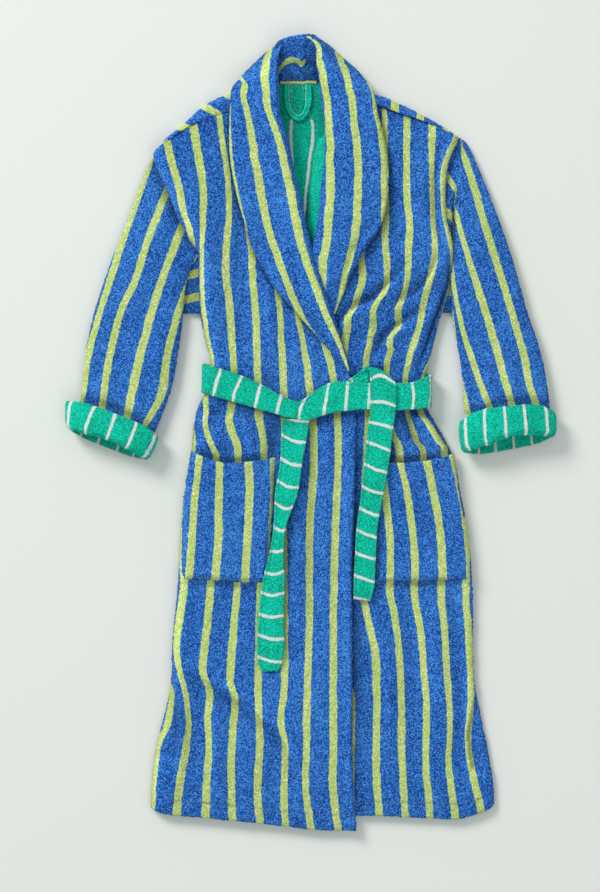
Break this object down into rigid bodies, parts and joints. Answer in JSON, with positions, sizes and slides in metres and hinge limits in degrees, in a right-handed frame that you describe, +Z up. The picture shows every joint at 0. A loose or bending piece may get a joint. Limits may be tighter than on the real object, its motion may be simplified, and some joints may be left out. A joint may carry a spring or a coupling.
{
  "type": "bathrobe",
  "caption": "Adult shawl-collar terry bathrobe, laid flat and tied, with turned-back cuffs, patch pockets, hanger loop and belt.",
  "frame": {"origin": "centre of the robe's outline on the surface that it lies on", "axes": "+X across the robe to the wearer's left arm, +Y from the hem to the collar, +Z up out of the front"},
  "size_m": [0.8021, 1.299, 0.046],
  "materials": {
    "striped_terry": "terry pile",
    "green_terry": "terry pile",
    "neck_tape": "woven"
  },
  "bodies": {
    "root": {"back_panel": "striped_terry", "right_front_panel": "striped_terry", "left_front_panel": "striped_terry", "collar_right_half": "striped_terry", "collar_left_half": "striped_terry", "under_collar": "striped_terry", "neck_tape": "neck_tape", "right_pocket": "striped_terry", "left_pocket": "striped_terry", "belt_back_run": "green_terry", "belt_right_run": "green_terry", "belt_left_run": "green_terry", "belt_wrap": "green_terry", "belt_loops": "striped_terry"},
    "hanger_loop": {"hanger_loop": "green_terry"},
    "right_sleeve": {"right_sleeve": "striped_terry", "right_cuff": "green_terry"},
    "left_sleeve": {"left_sleeve": "striped_terry", "left_cuff": "green_terry"},
    "belt_tail_right": {"belt_tail_right": "green_terry"},
    "belt_tail_left": {"belt_tail_left": "green_terry"}
  },
  "joints": [
    {"name": "hanger_loop_flip", "type": "hinge", "parent": "root", "child": "hanger_loop", "pos_m": [-0.019, 0.5705, 0.008], "axis": [-1, 0, 0], "range_deg": [0, 90]},
    {"name": "right_sleeve_fold", "type": "hinge", "parent": "root", "child": "right_sleeve", "pos_m": [-0.184, 0.292, 0.036], "axis": [-0.4082, 0.9129, 0], "range_deg": [0, 130]},
    {"name": "left_sleeve_fold", "type": "hinge", "parent": "root", "child": "left_sleeve", "pos_m": [0.231, 0.262, 0.036], "axis": [-0.0876, -0.9962, 0], "range_deg": [0, 120]},
    {"name": "belt_tail_right_lift", "type": "hinge", "parent": "root", "child": "belt_tail_right", "pos_m": [-0.024, 0.019, 0.037], "axis": [-1, 0, 0], "range_deg": [0, 120]},
    {"name": "belt_tail_left_lift", "type": "hinge", "parent": "root", "child": "belt_tail_left", "pos_m": [0.119, 0.0355, 0.037], "axis": [-1, 0, 0], "range_deg": [0, 120]}
  ]
}
